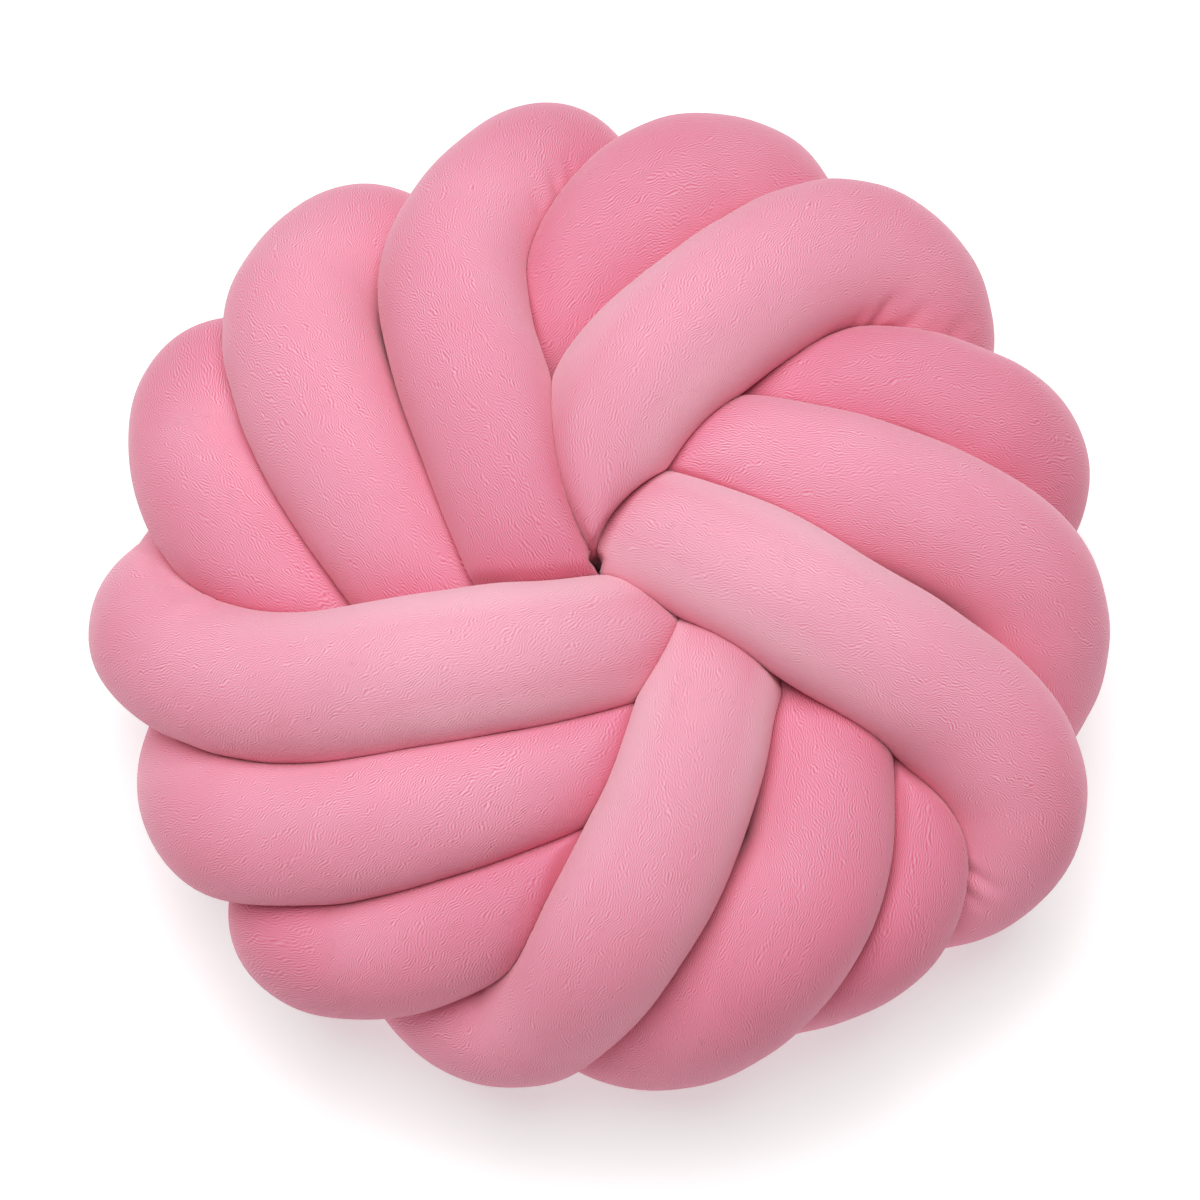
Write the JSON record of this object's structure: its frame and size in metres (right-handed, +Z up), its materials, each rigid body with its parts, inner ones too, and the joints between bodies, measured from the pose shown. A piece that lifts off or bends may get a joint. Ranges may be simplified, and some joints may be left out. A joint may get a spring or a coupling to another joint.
{
  "type": "knot cushion",
  "caption": "Round flattened cushion wound from a long stuffed plush tube, whose passes spiral out from a small central pit and turn over the rim to a like underside.",
  "frame": {"origin": "on the table, under the middle of the cushion's outline", "axes": "+Z up, out of the cushion's face; +Y towards the top of the face as pictured; +X to its right"},
  "size_m": [0.3598, 0.349, 0.1784],
  "materials": {
    "plush": "pink short-pile plush, brushed, matt with a soft sheen"
  },
  "bodies": {
    "root": {"knot_cushion": "plush"}
  },
  "joints": []
}
